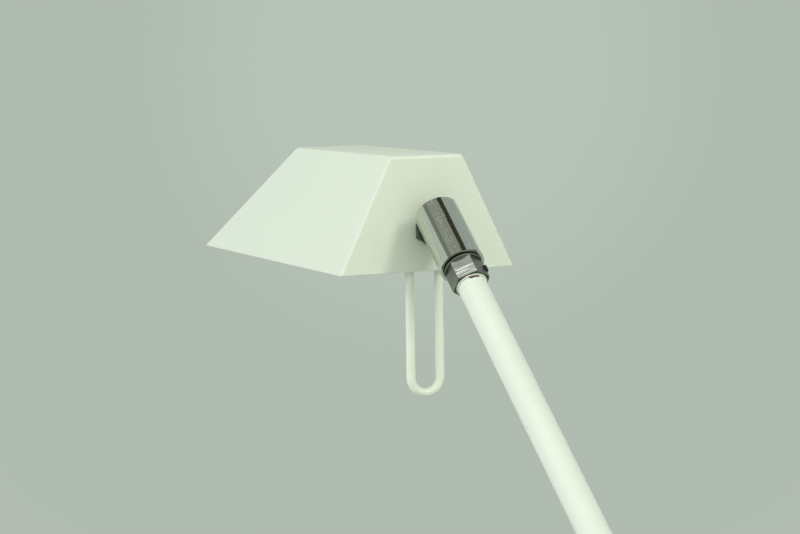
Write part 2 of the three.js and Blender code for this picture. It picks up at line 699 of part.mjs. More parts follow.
function stemTube() {
  const tube = bar(STEM_RADIUS, STEM_FROM, STEM_TOP, STEM_BORE, 0.3, 28);
  const keeper = alongX(drill(KEEPER + GRUB_HOLE, 8, 20, 20)).translate(0, 0, KEEPER_HEIGHT);
  return cut(tube, keeper);
}
add(lamp, "stem_tube", stemTube(), armPaint);

// Flared socket that the tie rod pulls down on the cover.
function stemSocket() {
  const body = turned(
    [
      [THREAD_RADIUS + 0.2, COVER_TOP + GAP],
      [27, COVER_TOP + GAP],
      [27, COVER_TOP + 3],
      [24, COVER_TOP + 5],
      [19, COVER_TOP + 8],
      [17.4, COVER_TOP + 14],
      [17, SOCKET_TOP - 1],
      [16, SOCKET_TOP],
      [STEM_RADIUS + GAP, SOCKET_TOP],
      [STEM_RADIUS + GAP, STEM_FROM - GAP],
      [THREAD_RADIUS + 0.2, STEM_FROM - GAP],
    ],
    28,
  );
  const taps = alongX(drill(SOCKET_SCREW + GRUB_HOLE, -30, 30, 24)).translate(0, 0, SOCKET_SCREW_HEIGHT);
  return cut(body, taps);
}
add(lamp, "stem_socket", stemSocket(), chrome);
for (const [name, side] of [["socket_screw_front", -1], ["socket_screw_back", 1]]) {
  const screw = grub(SOCKET_SCREW, STEM_RADIUS + 0.1, 17.2).rotateY((side * Math.PI) / 2);
  add(lamp, name, screw.translate(0, 0, SOCKET_SCREW_HEIGHT), darkSteel);
}

// ---------------------------------------------------------------- base

const RECESS_TOP = 9; // of the nut's recess under the weight
const INLET_Z = 9;
const INLET_RADIUS = 5;

add(lamp, "floor_pad", bar(BASE_RADIUS - 3, 0, PAD_THICKNESS, 0, 0.4, 40), felt);

// Cast disc, with a way for the cord from the inlet to the tie rod's recess.
function baseWeight() {
  const disc = turned(
    [
      [TIE_HOLE, PAD_THICKNESS + GAP],
      [WEIGHT_RADIUS, PAD_THICKNESS + GAP],
      [WEIGHT_RADIUS, 12],
      [WEIGHT_RADIUS - 3, 16],
      [WEIGHT_RADIUS - 12, WEIGHT_TOP - 1],
      [60, WEIGHT_TOP],
      [TIE_HOLE, WEIGHT_TOP],
    ],
    32,
  );
  const recess = drill(15, 0, RECESS_TOP);
  const cordWay = alongX(drill(INLET_RADIUS + 1, 10, BASE_RADIUS + 5, 20));
  return cut(disc, recess, cordWay.translate(0, 0, PAD_THICKNESS + 4));
}
add(lamp, "base_weight", baseWeight(), castIron);

// Pressed cover over the weight, open underneath.
function baseCover() {
  const edge = PAD_THICKNESS + 0.6;
  const wall = 1.5;
  const outline = [
    [BASE_RADIUS, edge],
    [BASE_RADIUS, 10],
    [BASE_RADIUS - 1.6, 15],
    [BASE_RADIUS - 6, 19],
    [BASE_RADIUS - 16, 21.8],
    [70, 25],
    [26, COVER_TOP],
    [TIE_HOLE, COVER_TOP],
  ];
  const under = [
    [TIE_HOLE, COVER_TOP - wall],
    [26, COVER_TOP - wall],
    [70, 25 - wall],
    [BASE_RADIUS - 16.4, 20.3],
    [BASE_RADIUS - 7, 17.8],
    [BASE_RADIUS - 3, 14.4],
    [BASE_RADIUS - wall, 9.8],
    [BASE_RADIUS - wall, edge],
  ];
  const cover = turned([...outline, ...under], 40);
  const inlet = alongX(drill(INLET_RADIUS, BASE_RADIUS - 10, BASE_RADIUS + 10, 24));
  return cut(cover, inlet.translate(0, 0, INLET_Z));
}
add(lamp, "base_cover", baseCover(), enamel);

// Rubber grommet in the cover where the supply cord would enter.
function inletBush() {
  const face = BASE_RADIUS;
  const grommet = turned(
    [
      [3.4, face - 4],
      [4.6, face - 4],
      [4.6, face + 0.5],
      [6.4, face + 0.5],
      [5.8, face + 2.6],
      [3.4, face + 3],
    ],
    24,
  );
  return alongX(grommet).translate(0, 0, INLET_Z);
}
add(lamp, "cord_inlet_bush", inletBush(), rubber);

add(lamp, "tie_rod", bar(THREAD_RADIUS, PAD_THICKNESS + 1.2, 46, 3.3, 0.5, 28), steel);
add(lamp, "tie_washer", bar(13, RECESS_TOP - 2.2, RECESS_TOP - GAP, THREAD_HOLE, 0.2), steel);
add(lamp, "tie_nut", nut(THREAD_FLATS, RECESS_TOP - 5.6, RECESS_TOP - 2.5, THREAD_HOLE), steel);

export default lamp;
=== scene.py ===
"""Arc floor lamp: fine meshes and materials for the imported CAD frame. Metres, in the frame's own axes."""

import json
import math

import bmesh
import bpy
from mathutils import Matrix, Vector


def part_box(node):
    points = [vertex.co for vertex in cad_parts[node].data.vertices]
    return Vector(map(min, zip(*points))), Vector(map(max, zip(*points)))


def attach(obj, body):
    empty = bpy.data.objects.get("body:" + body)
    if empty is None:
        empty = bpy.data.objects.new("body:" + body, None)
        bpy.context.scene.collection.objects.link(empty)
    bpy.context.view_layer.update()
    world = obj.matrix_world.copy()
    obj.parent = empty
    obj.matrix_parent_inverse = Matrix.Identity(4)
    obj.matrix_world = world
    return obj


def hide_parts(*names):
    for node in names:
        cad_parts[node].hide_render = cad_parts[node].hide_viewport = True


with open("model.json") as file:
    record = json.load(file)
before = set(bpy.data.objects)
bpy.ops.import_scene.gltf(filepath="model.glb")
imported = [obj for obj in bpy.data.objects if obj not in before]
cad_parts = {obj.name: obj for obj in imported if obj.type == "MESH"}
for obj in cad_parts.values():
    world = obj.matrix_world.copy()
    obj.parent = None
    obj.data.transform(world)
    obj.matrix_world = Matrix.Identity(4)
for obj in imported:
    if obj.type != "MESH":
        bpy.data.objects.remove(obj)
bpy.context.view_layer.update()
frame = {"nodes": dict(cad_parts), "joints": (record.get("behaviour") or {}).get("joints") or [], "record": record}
MM = 0.001

# ---------------------------------------------------------------- places, from the frame

JOINTS = {joint["name"]: joint for joint in frame["joints"]}
SHADE_LOW, SHADE_HIGH = (Vector(corner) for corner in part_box("shade"))
FOOT = Vector((SHADE_HIGH.x, 0, SHADE_LOW.z))  # of the shade's upright end plate, on its rim
SLEEVE_TOP = Vector(JOINTS["head_swivel"]["pos_m"])
ALONG = Vector(JOINTS["head_swivel"]["axis"]).normalized()  # down the arm
PIVOT = Vector(JOINTS["head_tilt"]["pos_m"])
LEVEL = Vector((FOOT.x, 0, PIVOT.z))  # where the nipple passes the end plate


def frame_at(origin, z_axis, x_axis):
    """A placing matrix, in millimetres, from an origin and the directions of its own Z and X."""
    z = z_axis.normalized()
    x = (x_axis - z * x_axis.dot(z)).normalized()
    y = z.cross(x)
    turn = Matrix((x, y, z)).transposed().to_4x4()
    return Matrix.Translation(origin) @ turn @ Matrix.Scale(MM, 4)


UP = Vector((0, 0, 1))
AFT = Vector((-1, 0, 0))  # from the end plate into the shade
SIDE = Vector((0, 1, 0))
UNDER_ARM = SIDE.cross(ALONG)
ON_SHADE = frame_at(FOOT, UP, Vector((1, 0, 0)))
INWARD = frame_at(LEVEL, AFT, UP)
DOWN_ARM = frame_at(SLEEVE_TOP, ALONG, UNDER_ARM)

# ---------------------------------------------------------------- camera

camera = bpy.data.objects.new("camera", bpy.data.cameras.new("camera"))
bpy.context.scene.collection.objects.link(camera)
bpy.context.scene.camera = camera
CAMERA_FORWARD = Vector((-0.9113, 0.3995, -0.0995)).normalized()
CAMERA_UP = Vector((-0.0843, 0.0555, 0.9949))
CAMERA_FROM_FOOT = Vector((1.1237, -0.5101, 0.1260))
camera.data.lens = 99.76
camera.data.sensor_width = 36
camera.data.clip_end = 50


def aim(thing, place, forward, up=UP):
    back = -forward.normalized()
    right = up.cross(back).normalized()
    turn = Matrix((right, back.cross(right), back)).transposed().to_4x4()
    thing.matrix_world = Matrix.Translation(place) @ turn


aim(camera, FOOT + CAMERA_FROM_FOOT, CAMERA_FORWARD, CAMERA_UP)

# ---------------------------------------------------------------- node materials

# Millimetres down the arm from the sleeve's top, or out from the arm's axis.
ARM_FROM = 57.3  # where the tube starts
CHIP_SIDE = (UNDER_ARM * -0.986 + SIDE * -0.165).normalized()  # of the arm: where its paint is chipped
CHIP_REACH = 7.19  # the chip lies further out than this, to that side
RIPPLED = (46.8, 49.6)  # where the coupling's ripples start and are full
FLAT_SIDE = (UNDER_ARM * -math.cos(math.pi / 6) - SIDE * 0.5).normalized()  # of the coupling's rubbed flat
FLAT_REACH = 9.15  # the rubbed flats lie further out than this
HEXAGON_FROM = 44.15
HANDLED_REACH = 12.42  # the sleeve's rubbed band lies further out than this, to the same side


class Paint:
    """A node material being built on a Principled shader."""

    def __init__(self, name):
        self.material = bpy.data.materials.new(name)
        self.material.use_nodes = True
        self.tree = self.material.node_tree
        self.shader = self.tree.nodes["Principled BSDF"]
        self.place = self.node("ShaderNodeTexCoord").outputs["Object"]

    def node(self, kind, **settings):
        made = self.tree.nodes.new(kind)
        for key, value in settings.items():
            setattr(made, key, value)
        return made

    def link(self, output, socket):
        self.tree.links.new(output, socket)

    def set(self, **values):
        for key, value in values.items():
            self.shader.inputs[key.replace("_", " ")].default_value = value

    def stretched(self, scale):
        """Object coordinates with a scale of their own for each axis."""
        mapping = self.node("ShaderNodeMapping")
        mapping.inputs["Scale"].default_value = scale
        self.link(self.place, mapping.inputs["Vector"])
        return mapping.outputs["Vector"]

    def along_arm(self, along, across):
        """Coordinates down and across the arm, each with a scale of its own."""
        axes = self.node("ShaderNodeCombineXYZ")
        for socket, axis, scale in (("X", ALONG, along), ("Y", SIDE, across), ("Z", UNDER_ARM, across)):
            self.link(self.reach(axis, scale), axes.inputs[socket])
        return axes.outputs["Vector"]

    def reach(self, axis, scale=1.0):
        """How far a point lies along an axis through the world's origin, times a scale."""
        dot = self.node("ShaderNodeVectorMath", operation="DOT_PRODUCT")
        self.link(self.place, dot.inputs[0])
        dot.inputs[1].default_value = axis * scale
        return dot.outputs["Value"]

    def noise(self, scale, detail=3.0, rough=0.5, where=None):
        made = self.node("ShaderNodeTexNoise")
        made.inputs["Scale"].default_value = scale
        made.inputs["Detail"].default_value = detail
        made.inputs["Roughness"].default_value = rough
        self.link(where or self.place, made.inputs["Vector"])
        return made.outputs["Fac"]

    def ramp(self, value, *stops):
        """A colour or grey ramp: each stop is (position, grey or (r, g, b))."""
        made = self.node("ShaderNodeValToRGB")
        elements = made.color_ramp.elements
        while len(elements) < len(stops):
            elements.new(0.5)
        for element, (position, shade) in zip(elements, stops):
            element.position = position
            rgb = (shade,) * 3 if isinstance(shade, (int, float)) else shade
            element.color = (*rgb, 1)
        self.link(value, made.inputs["Fac"])
        return made.outputs["Color"]

    def mix(self, factor, a, b):
        """a towards b by factor. Each may be an output or a colour."""
        made = self.node("ShaderNodeMix", data_type="RGBA")
        for socket, value in (("Factor", factor), ("A", a), ("B", b)):
            self.feed(made.inputs[socket], value)
        return made.outputs["Result"]

    def feed(self, socket, value):
        if isinstance(value, bpy.types.NodeSocket):
            self.link(value, socket)
        elif socket.type == "RGBA":
            socket.default_value = (*value, 1)
        else:
            socket.default_value = value

    def math(self, operation, a, b):
        made = self.node("ShaderNodeMath", operation=operation)
        self.feed(made.inputs[0], a)
        self.feed(made.inputs[1], b)
        return made.outputs["Value"]

    def cells(self, scale, inside, outside):
        """Round spots, one to a cell: 1 in each spot's middle and 0 outside it."""
        made = self.node("ShaderNodeTexVoronoi", feature="F1")
        made.inputs["Scale"].default_value = scale
        self.link(self.place, made.inputs["Vector"])
        return self.ramp(made.outputs["Distance"], (inside, 1.0), (outside, 0.0))

    def end_chip(self):
        """Where the paint is worn to red primer: a thin crescent at the arm's upper end."""
        down = self.math("SUBTRACT", self.reach(ALONG), SLEEVE_TOP.dot(ALONG) + ARM_FROM * MM)
        out = self.math("SUBTRACT", self.reach(CHIP_SIDE), SLEEVE_TOP.dot(CHIP_SIDE))
        ragged = self.math("MULTIPLY", self.noise(900, 3, 0.6), 0.0004)
        depth = self.math("MULTIPLY", self.math("SUBTRACT", out, CHIP_REACH * MM), 2.5)
        limit = self.math("ADD", self.math("MINIMUM", depth, 0.0013), ragged)
        near_end = self.math("LESS_THAN", down, self.math("SUBTRACT", limit, 0.0002))
        on_tube = self.math("GREATER_THAN", down, -0.0001)
        inside = self.math("MULTIPLY", near_end, on_tube)
        return self.math("MULTIPLY", inside, self.math("GREATER_THAN", depth, 0.0))

    def facing(self, axis, start, full):
        """0 to 1 as the piece's surface turns to face an axis."""
        dot = self.node("ShaderNodeVectorMath", operation="DOT_PRODUCT")
        self.link(self.node("ShaderNodeTexCoord").outputs["Normal"], dot.inputs[0])
        dot.inputs[1].default_value = axis
        return self.ramp(dot.outputs["Value"], (start, 0.0), (full, 1.0))

    def bump(self, height, strength, distance):
        """Adds a bump on top of those already there."""
        made = self.node("ShaderNodeBump")
        made.inputs["Strength"].default_value = strength
        made.inputs["Distance"].default_value = distance
        self.link(height, made.inputs["Height"])
        normal = self.shader.inputs["Normal"]
        if normal.is_linked:
            self.link(normal.links[0].from_socket, made.inputs["Normal"])
        self.link(made.outputs["Normal"], normal)

    def colour(self, value):
        self.feed(self.shader.inputs["Base Color"], value)

    def rough(self, value):
        self.feed(self.shader.inputs["Roughness"], value)


def enamel(name, tone, grime, roughness=(0.34, 0.46), bare_end=False):
    """Sprayed and stoved enamel: faint mottle, orange peel, a few dust specks and rare chips."""
    paint = Paint(name)
    clouds = paint.ramp(paint.noise(9, 4, 0.55), (0.3, tuple(c * 0.975 for c in tone)), (0.7, tone))
    smudge = paint.ramp(paint.noise(38, 5, 0.6), (0.54, 0.0), (0.78, 0.16))
    coat = paint.mix(smudge, clouds, grime)
    rare = paint.ramp(paint.noise(13, 1, 0.4), (0.60, 0.0), (0.64, 1.0))
    specks = paint.math("MULTIPLY", paint.cells(55, 0.035, 0.050), rare)
    coat = paint.mix(specks, coat, (0.20, 0.18, 0.14))
    if bare_end:
        coat = paint.mix(paint.end_chip(), coat, (0.085, 0.016, 0.010))
    paint.colour(coat)
    paint.rough(paint.ramp(paint.noise(60, 4, 0.6), (0.3, roughness[0]), (0.75, roughness[1])))
    paint.bump(paint.noise(620, 2, 0.5), 0.08, 0.00010)
    paint.bump(paint.noise(2400, 2, 0.5), 0.05, 0.00003)
    paint.set(Coat_Weight=0.2, Coat_Roughness=0.2, Specular_IOR_Level=0.5)
    return paint.material


def bright_metal(name, tone, roughness, scratch_scale):
    """Bright plating with fine handling scratches, dull patches and a little tarnish."""
    paint = Paint(name)
    patches = paint.noise(55, 5, 0.65)
    tarnish = (tone[0] * 0.82, tone[1] * 0.7954, tone[2] * 0.738)
    paint.colour(paint.ramp(patches, (0.35, tarnish), (0.65, tone)))
    scratches = paint.noise(1.0, 3, 0.6, paint.stretched(scratch_scale))
    crossed = paint.noise(700, 3, 0.7)
    both = paint.math("ADD", scratches, paint.math("MULTIPLY", crossed, 0.35))
    paint.rough(paint.ramp(both, (0.45, roughness[0]), (0.85, roughness[1])))
    paint.bump(scratches, 0.12, 0.00003)
    paint.bump(crossed, 0.08, 0.00002)
    paint.set(Metallic=1.0)
    return paint.material


def sleeve_chrome():
    """The sleeve's plating: faint drawn streaks, with a band of bright scratches where it is handled."""
    paint = Paint("sleeve_chrome")
    streaks = paint.noise(1.0, 4, 0.6, paint.along_arm(60, 900))
    out = paint.math("SUBTRACT", paint.reach(FLAT_SIDE), SLEEVE_TOP.dot(FLAT_SIDE))
    wavering = paint.math("MULTIPLY", paint.noise(1.0, 3, 0.6, paint.along_arm(50, 400)), 0.0008)
    edge = paint.math("SUBTRACT", paint.math("ADD", out, wavering), HANDLED_REACH * MM)
    handled = paint.ramp(paint.math("MULTIPLY", edge, 2600), (0.0, 0.0), (0.9, 1.0))
    scratches = paint.ramp(paint.noise(1.0, 3, 0.75, paint.along_arm(600, 1700)), (0.53, 0.0), (0.65, 1.0))
    scratched = paint.math("MULTIPLY", scratches, handled)
    plated = paint.ramp(streaks, (0.30, (0.54, 0.565, 0.51)), (0.70, (0.66, 0.685, 0.62)))
    rubbed = paint.ramp(streaks, (0.30, (0.42, 0.43, 0.37)), (0.70, (0.60, 0.61, 0.53)))
    paint.colour(paint.mix(scratched, paint.mix(handled, plated, rubbed), (0.93, 0.94, 0.88)))
    paint.rough(paint.ramp(streaks, (0.35, 0.05), (0.75, 0.13)))
    paint.bump(streaks, 0.16, 0.00003)
    paint.bump(paint.noise(1.0, 3, 0.7, paint.along_arm(900, 2200)), 0.16, 0.00002)
    paint.bump(scratched, 0.55, 0.00005)
    paint.set(Metallic=1.0)
    return paint.material


def dull_metal(name, tone, roughness=(0.34, 0.5), mottle=120, darkest=0.75):
    """Zinc-plated or oiled steel with tool marks."""
    paint = Paint(name)
    dark = tuple(c * darkest for c in tone)
    paint.colour(paint.ramp(paint.noise(mottle, 4, 0.6), (0.35, dark), (0.65, tone)))
    paint.rough(paint.ramp(paint.noise(400, 3, 0.6), (0.3, roughness[0]), (0.7, roughness[1])))
    paint.bump(paint.noise(1500, 3, 0.6), 0.15, 0.00003)
    paint.set(Metallic=1.0)
    return paint.material


def cast_iron():
    """Sand-cast skin under a thin black primer."""
    paint = Paint("cast_iron")
    blotches = paint.noise(80, 5, 0.6)
    paint.colour(paint.ramp(blotches, (0.3, (0.030, 0.030, 0.031)), (0.7, (0.06, 0.058, 0.055))))
    paint.rough(paint.ramp(paint.noise(300, 3, 0.6), (0.3, 0.6), (0.7, 0.85)))
    paint.bump(paint.noise(900, 5, 0.7), 0.5, 0.0003)
    paint.set(Metallic=0.3)
    return paint.material


def felt():
    """Pressed felt: matted short fibres."""
    paint = Paint("felt")
    fibres = paint.noise(1.0, 4, 0.7, paint.stretched((900, 2600, 900)))
    crossed = paint.noise(1.0, 4, 0.7, paint.stretched((2600, 900, 900)))
    mat = paint.math("MAXIMUM", fibres, crossed)
    paint.colour(paint.ramp(mat, (0.35, (0.020, 0.028, 0.022)), (0.75, (0.060, 0.075, 0.062))))
    paint.bump(mat, 0.6, 0.0003)
    paint.set(Roughness=0.95, Sheen_Weight=0.3)
    return paint.material


def moulded(name, tone, roughness, grain=1400, depth=0.00004):
    """Moulded plastic, rubber or fibre with a fine grain and slight shade changes."""
    paint = Paint(name)
    paint.colour(paint.ramp(paint.noise(90, 4, 0.6), (0.3, tuple(c * 0.82 for c in tone)), (0.7, tone)))
    paint.rough(paint.ramp(paint.noise(200, 3, 0.5), (0.3, roughness[0]), (0.7, roughness[1])))
    paint.bump(paint.noise(grain, 3, 0.6), 0.2, depth)
    return paint.material


def opal_glass():
    """Opal bulb glass: white flashed inside, faintly uneven."""
    paint = Paint("opal_glass")
    paint.colour(paint.ramp(paint.noise(40, 3, 0.5), (0.3, (0.80, 0.79, 0.74)), (0.7, (0.88, 0.87, 0.83))))
    paint.rough(paint.ramp(paint.noise(120, 2, 0.5), (0.3, 0.12), (0.7, 0.2)))
    paint.set(Subsurface_Weight=0.25, Subsurface_Scale=0.004, Coat_Weight=0.3, Coat_Roughness=0.05)
    return paint.material


def grooved_chrome():
    """Plating over coarse machining: crosswise ripples, two rubbed flats and dull sides; the end faces carry a
    painted dark reflection of the floor.
    """
    paint = Paint("grooved_chrome")
    mottle = paint.noise(260, 5, 0.6)
    down = paint.math("SUBTRACT", paint.reach(ALONG), SLEEVE_TOP.dot(ALONG))
    to_side = paint.math("SUBTRACT", paint.reach(FLAT_SIDE), SLEEVE_TOP.dot(FLAT_SIDE))
    out = paint.math("ABSOLUTE", to_side, 0.0)
    below_round = paint.math("GREATER_THAN", down, HEXAGON_FROM * MM)
    on_flat = paint.math("MULTIPLY", paint.math("GREATER_THAN", out, FLAT_REACH * MM), below_round)
    low = paint.node("ShaderNodeMapRange", interpolation_type="SMOOTHSTEP")
    paint.link(down, low.inputs["Value"])
    low.inputs["From Min"].default_value, low.inputs["From Max"].default_value = (d * MM for d in RIPPLED)
    rippled = paint.math("MULTIPLY", low.outputs["Result"], on_flat)
    ridges = paint.math("MULTIPLY", paint.noise(1.0, 3, 0.55, paint.along_arm(620, 70)), rippled)
    dull = paint.ramp(mottle, (0.3, (0.19, 0.20, 0.165)), (0.7, (0.29, 0.30, 0.26)))
    rubbed = paint.ramp(mottle, (0.3, (0.68, 0.70, 0.68)), (0.7, (0.80, 0.82, 0.80)))
    crests = paint.ramp(ridges, (0.50, 0.0), (0.64, 1.0))
    bright = paint.mix(crests, rubbed, (0.97, 0.98, 0.97))
    # Painted reflection: faces turned down the arm are coloured dark, standing in for the dark floor they mirror.
    painted_floor_reflection = paint.ramp(mottle, (0.35, (0.045, 0.055, 0.030)), (0.65, (0.15, 0.17, 0.11)))
    sides = paint.mix(on_flat, dull, bright)
    paint.colour(paint.mix(paint.facing(ALONG, 0.75, 0.95), sides, painted_floor_reflection))
    polish = paint.ramp(paint.noise(260, 3, 0.6), (0.35, 0.14), (0.8, 0.30))
    paint.rough(paint.mix(on_flat, (0.42, 0.42, 0.42), polish))
    paint.bump(ridges, 0.8, 0.0007)
    paint.bump(paint.noise(1.0, 3, 0.6, paint.along_arm(2600, 200)), 0.25, 0.00004)
    paint.set(Metallic=1.0)
    return paint.material


CHROME = bright_metal("chrome", (0.62, 0.62, 0.59), (0.08, 0.24), (260, 900, 260))
STEM_CHROME = bright_metal("stem_chrome", (0.66, 0.66, 0.64), (0.07, 0.2), (300, 300, 900))
MATERIALS = {
    "shade_enamel": enamel("shade_enamel", (0.735, 0.795, 0.700), (0.62, 0.62, 0.52)),
    "arm_enamel": enamel("arm_enamel", (0.775, 0.825, 0.755), (0.66, 0.66, 0.55), bare_end=True),
    "chrome_plate": CHROME,
    "zinc_steel": dull_metal("zinc_steel", (0.45, 0.44, 0.42)),
    "black_steel": dull_metal("black_steel", (0.055, 0.050, 0.045)),
    "brass": bright_metal("brass", (0.62, 0.42, 0.14), (0.18, 0.35), (400, 400, 400)),
    "cast_iron": cast_iron(),
    "felt": felt(),
    "rubber": moulded("rubber", (0.025, 0.025, 0.025), (0.6, 0.8)),
    "nylon": moulded("nylon", (0.66, 0.63, 0.54), (0.35, 0.5)),
    "bakelite": moulded("bakelite", (0.022, 0.018, 0.016), (0.16, 0.3), 300, 0.00002),
    "opal_glass": opal_glass(),
}
GROOVED = grooved_chrome()
# The tilt tongue's steel: a dark greenish tone, strongly mottled darker.
DARK_GREENISH_STEEL = dull_metal("dark_greenish_steel", (0.21, 0.23, 0.175), (0.3, 0.5), 420, 0.35)
# Painted light: the loop's enamel is a lighter copy of the arm's, painted brighter so that the wire looks more
# lit.
LIGHTENED_LOOP_ENAMEL = enamel("loop_enamel_painted_lighter", (0.82, 0.88, 0.77), (0.66, 0.66, 0.55))
SLEEVE_CHROME = sleeve_chrome()
SLOT_OF = {part["node"]: part["material_slot"] for part in frame["record"]["subparts"]}

# ---------------------------------------------------------------- mesh helpers


def linked(name, bm):
    """A new object in the scene from a bmesh, which is used up."""
    mesh = bpy.data.meshes.new(name)
    bm.to_mesh(mesh)
    bm.free()
    thing = bpy.data.objects.new(name, mesh)
    bpy.context.scene.collection.objects.link(thing)
    return thing


def applied(thing):
    """The object's mesh with its modifiers applied."""
    graph = bpy.context.evaluated_depsgraph_get()
    return bpy.data.meshes.new_from_object(thing.evaluated_get(graph))


def finish(
    name, bm, place, node, material=None, round_edges=0.0, angle=35, segments=2, merge=1e-5
):
    """Turns a bmesh in its own frame into a piece that stands for a CAD node and rides on its body.

    Edges sharper than angle, in degrees, stay sharp, and are bevelled by round_edges where it is given.
    Points nearer than merge become one, which leaves the bevel room.
    """
    bmesh.ops.remove_doubles(bm, verts=bm.verts, dist=merge)
    bmesh.ops.transform(bm, matrix=place, verts=bm.verts)
    bmesh.ops.recalc_face_normals(bm, faces=bm.faces)
    for face in bm.faces:
        face.smooth = True
    for edge in bm.edges:
        if len(edge.link_faces) == 2 and edge.calc_face_angle(0) > math.radians(angle):
            edge.smooth = False
    piece = linked(name, bm)
    if round_edges:
        bevel = piece.modifiers.new("edges", "BEVEL")
        bevel.width = round_edges * MM
        bevel.segments = segments
        bevel.limit_method = "ANGLE"
        bevel.angle_limit = math.radians(angle)
    slot = SLOT_OF[node]
    piece.data.materials.append(material or MATERIALS[slot])
    body = next(b for b, nodes in frame["record"]["behaviour"]["bodies"].items() if node in nodes)
    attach(piece, body)
    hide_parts(node)


def revolved(points, sides=96):
    """A solid of revolution about Z from [radius, z] points. It closes on itself or on the axis."""
    bm = bmesh.new()
    rings = []
    for radius, z in points:
        if radius < 1e-6:
            rings.append([bm.verts.new((0, 0, z))])
            continue
        ring = []
        for k in range(sides):
            turn = 2 * math.pi * k / sides
            ring.append(bm.verts.new((radius * math.cos(turn), radius * math.sin(turn), z)))
        rings.append(ring)
    closed = len(rings[0]) > 1 or len(rings[-1]) > 1
    pairs = list(zip(rings, rings[1:] + rings[:1] if closed else rings[1:]))
    for low, high in pairs:
        for k in range(sides):
            a, b = low[k % len(low)], low[(k + 1) % len(low)]
            c, d = high[(k + 1) % len(high)], high[k % len(high)]
            corners = list(dict.fromkeys((a, b, c, d)))
            if len(corners) > 2:
                bm.faces.new(corners)
    return bm


def rounded(points, radius, steps=3):
    """The same outline with each inner corner rounded: radius in its own units."""
    out = []
    for k, here in enumerate(points):
        here = Vector(here)
        if k in (0, len(points) - 1):
            out.append(tuple(here))
            continue
        before, after = Vector(points[k - 1]) - here, Vector(points[k + 1]) - here
        reach = min(radius, before.length * 0.45, after.length * 0.45)
        start, end = here + before.normalized() * reach, here + after.normalized() * reach
        for s in range(steps + 1):
            t = s / steps
            out.append(tuple((1 - t) ** 2 * start + 2 * t * (1 - t) * here + t * t * end))
    return out


def swept(stations, radius, sides=32, bore=0.0):
    """Wire or tube along stations in the XZ or YZ plane, with closed ends."""
    bm = bmesh.new()
    flat = Vector((0, 1, 0)) if all(abs(s.y) < 1e-9 for s in stations) else Vector((1, 0, 0))

    def ring(k, r):
        ahead = stations[min(k + 1, len(stations) - 1)] - stations[max(k - 1, 0)]
        across = ahead.normalized().cross(flat)
        made = []
        for s in range(sides):
            turn = 2 * math.pi * s / sides
            made.append(bm.verts.new(stations[k] + r * (math.cos(turn) * flat + math.sin(turn) * across)))
        return made

    def skin(rings):
        for low, high in zip(rings, rings[1:]):
            for s in range(sides):
                bm.faces.new((low[s], low[(s + 1) % sides], high[(s + 1) % sides], high[s]))

    outer = [ring(k, radius) for k in range(len(stations))]
    skin(outer)
    if bore:
        inner = [ring(k, bore) for k in range(len(stations))]
        skin(inner)
        skin([outer[0], inner[0]])
        skin([outer[-1], inner[-1]])
    else:
        bm.faces.new(outer[0])
        bm.faces.new(outer[-1])
    return bm


def arc(centre, radius, right, up, start, end, steps):
    """Points round an arc in the plane of two unit vectors."""
    turns = (start + (end - start) * k / steps for k in range(steps + 1))
    return [centre + radius * (math.cos(t) * right + math.sin(t) * up) for t in turns]


def boxed(x0, x1, y0, y1, z0, z1):
    bm = bmesh.new()
    middle = Vector((x0 + x1, y0 + y1, z0 + z1)) / 2
    size = Matrix.Diagonal((x1 - x0, y1 - y0, z1 - z0, 1))
    bmesh.ops.create_cube(bm, size=1, matrix=Matrix.Translation(middle) @ size)
    return bm


def hexagon(flats, z0, z1):
    """A hexagonal bar along Z with flats at +Y and -Y."""
    corner = flats / math.sqrt(3)
    bm = bmesh.new()
    turns = [k * math.pi / 3 for k in range(6)]
    rings = []
    for z in (z0, z1):
        rings.append([bm.verts.new((corner * math.cos(t), corner * math.sin(t), z)) for t in turns])
    for k in range(6):
        n = (k + 1) % 6
        bm.faces.new((rings[0][k], rings[0][n], rings[1][n], rings[1][k]))
    bm.faces.new(rings[0])
    bm.faces.new(rings[1])
    return bm


def boolean(piece, tool, operation):
    """Joins, cuts or keeps the common part of a finished piece and a bmesh tool already in place."""
    bmesh.ops.recalc_face_normals(tool, faces=tool.faces)
    other = linked("tool", tool)
    modifier = piece.modifiers.new("boolean", "BOOLEAN")
    modifier.operation = operation
    modifier.solver = "EXACT"
    modifier.object = other
    done = applied(piece)
    piece.modifiers.clear()
    piece.data = done
    bpy.data.objects.remove(other)


def placed(bm, place):
    bmesh.ops.transform(bm, matrix=place, verts=bm.verts)
    return bm


def turned_in(radius, z0, z1, axis, centre, sides=64):
    """A plain round tool along 'X', 'Y' or 'Z' through a centre, in a frame's millimetres."""
    bm = revolved([(0, z0), (radius, z0), (radius, z1), (0, z1)], sides)
    turn = {"X": Matrix.Rotation(math.pi / 2, 4, "Y"), "Y": Matrix.Rotation(-math.pi / 2, 4, "X")}
    return placed(bm, Matrix.Translation(centre) @ turn.get(axis, Matrix.Identity(4)))


def piece_of(name, place, node, first, *steps, **options):
    """Builds a piece from a first shape and (operation, tool) steps, all in one frame's millimetres."""
    bmesh.ops.recalc_face_normals(first, faces=first.faces)
    blank = linked("blank", first)
    for operation, tool in steps:
        boolean(blank, tool, operation)
    bm = bmesh.new()
    bm.from_mesh(blank.data)
    bpy.data.objects.remove(blank)
    finish(name, bm, place, node, **options)


# ---------------------------------------------------------------- shade

SHADE = {"length": 230.5, "width": 107.0, "top_length": 144.0, "top_width": 44.5, "height": 65.0}
SHEET = 1.2
FOLD = 1.8  # reach of a rounded fold from its edge


